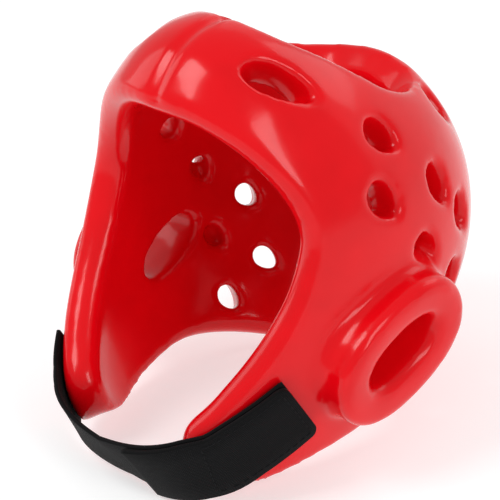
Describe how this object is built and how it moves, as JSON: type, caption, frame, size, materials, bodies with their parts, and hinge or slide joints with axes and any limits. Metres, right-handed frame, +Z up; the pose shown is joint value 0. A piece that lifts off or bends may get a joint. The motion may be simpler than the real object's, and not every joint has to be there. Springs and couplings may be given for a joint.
{
  "type": "dipped-foam sparring headgear",
  "caption": "Padded sparring headgear: vinyl-dipped foam shell with face and crown openings, vents, oval ear rings and an elastic chin strap.",
  "frame": {"origin": "middle of the bounding box on the surface that the headgear rests on", "axes": "+X to the wearer's left, +Y to the back of the head, +Z up; the headgear leans back by 28.7 degrees as it rests on its jaw edges and nape"},
  "size_m": [0.2074, 0.2364, 0.2235],
  "materials": {
    "dipped_foam": "glossy dipped skin",
    "elastic_webbing": "ribbed elastic webbing",
    "strap_end": "woven hook-and-loop end"
  },
  "bodies": {
    "root": {"head_shell": "dipped_foam", "ear_ring_left": "dipped_foam", "ear_ring_right": "dipped_foam", "chin_strap": "elastic_webbing", "strap_patch": "strap_end"}
  },
  "joints": []
}
